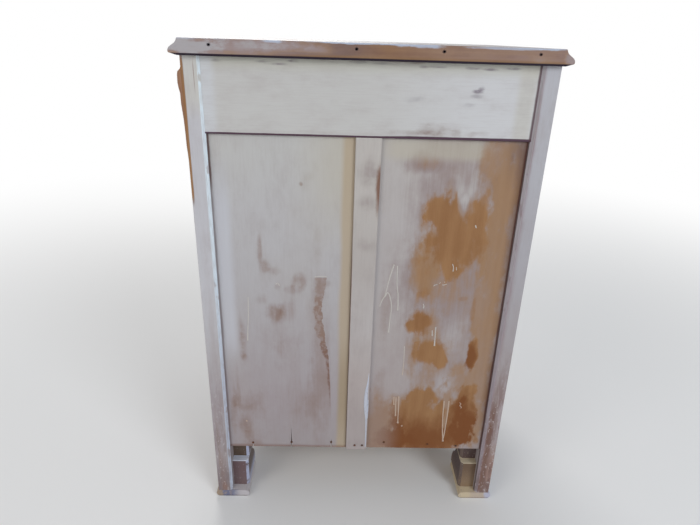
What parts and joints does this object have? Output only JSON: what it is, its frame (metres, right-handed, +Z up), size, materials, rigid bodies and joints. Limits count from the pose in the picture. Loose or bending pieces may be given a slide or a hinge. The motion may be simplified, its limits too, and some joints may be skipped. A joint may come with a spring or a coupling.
{
  "type": "bedside pot cupboard",
  "caption": "Small painted wooden bedside cupboard with a drawer over an inset panelled door, moulded top and bracket feet, seen worn and stripped at the back.",
  "frame": {"origin": "middle of the footprint, on the floor", "axes": "+Z up, -Y the front with the drawer and the door, +X to the right as seen from the front"},
  "size_m": [0.503, 0.4014, 0.75],
  "materials": {
    "painted_wood": "worn white paint over wood, matte",
    "stripped_wood": "stripped and weathered wood with traces of white paint",
    "bare_wood": "bare split wood",
    "inner_wood": "unfinished old pine",
    "old_brass": "aged, dull",
    "iron": "dark, lightly rusted"
  },
  "bodies": {
    "carcass": {"top_board": "stripped_wood", "side_right": "painted_wood", "side_left": "painted_wood", "side_split_strip": "bare_wood", "bottom_board": "inner_wood", "front_apron": "painted_wood", "apron_glue_blocks": "inner_wood", "front_block_right": "inner_wood", "front_block_left": "inner_wood", "rear_foot_block_right": "painted_wood", "rear_foot_block_left": "painted_wood", "pad_front_right": "painted_wood", "pad_front_left": "painted_wood", "pad_rear_right": "painted_wood", "pad_rear_left": "painted_wood", "back_rail": "painted_wood", "back_muntin": "painted_wood", "back_panel_right": "painted_wood", "back_panel_left": "painted_wood", "front_top_rail": "painted_wood", "drawer_rail": "painted_wood", "runner_right": "inner_wood", "runner_left": "inner_wood", "kicker_right": "inner_wood", "kicker_left": "inner_wood", "dust_board": "inner_wood", "drawer_stops": "inner_wood", "door_stop": "inner_wood", "shelf": "inner_wood", "shelf_bearer_right": "inner_wood", "shelf_bearer_left": "inner_wood", "hinge_side_leaves": "old_brass", "hinge_pins": "old_brass", "hinge_side_screws": "old_brass", "latch_keeper": "old_brass", "keeper_screws": "old_brass", "back_nails": "iron", "top_screws": "iron"},
    "drawer": {"drawer_front": "painted_wood", "drawer_side_right": "inner_wood", "drawer_side_left": "inner_wood", "drawer_back": "inner_wood", "drawer_bottom": "inner_wood", "drawer_knob": "painted_wood", "drawer_knob_screw": "iron", "drawer_bottom_nails": "iron"},
    "door": {"door_hinge_stile": "painted_wood", "door_latch_stile": "painted_wood", "door_top_rail": "painted_wood", "door_bottom_rail": "painted_wood", "door_panel": "painted_wood", "door_beads": "painted_wood", "hinge_door_leaves": "old_brass", "hinge_door_screws": "old_brass"},
    "latch": {"latch_knob": "painted_wood", "latch_spindle": "old_brass", "latch_tongue": "old_brass"}
  },
  "joints": [
    {"name": "drawer_slide", "type": "slide", "parent": "carcass", "child": "drawer", "axis": [0, -1, 0], "range_m": [0, 0.25]},
    {"name": "door_hinge", "type": "hinge", "parent": "carcass", "child": "door", "pos_m": [-0.21425, -0.176, 0.364], "axis": [0, 0, -1], "range_deg": [0, 110]},
    {"name": "latch_turn", "type": "hinge", "parent": "door", "child": "latch", "pos_m": [0.1875, -0.1725, 0.4035], "axis": [0, -1, 0], "range_deg": [0, 90]}
  ]
}
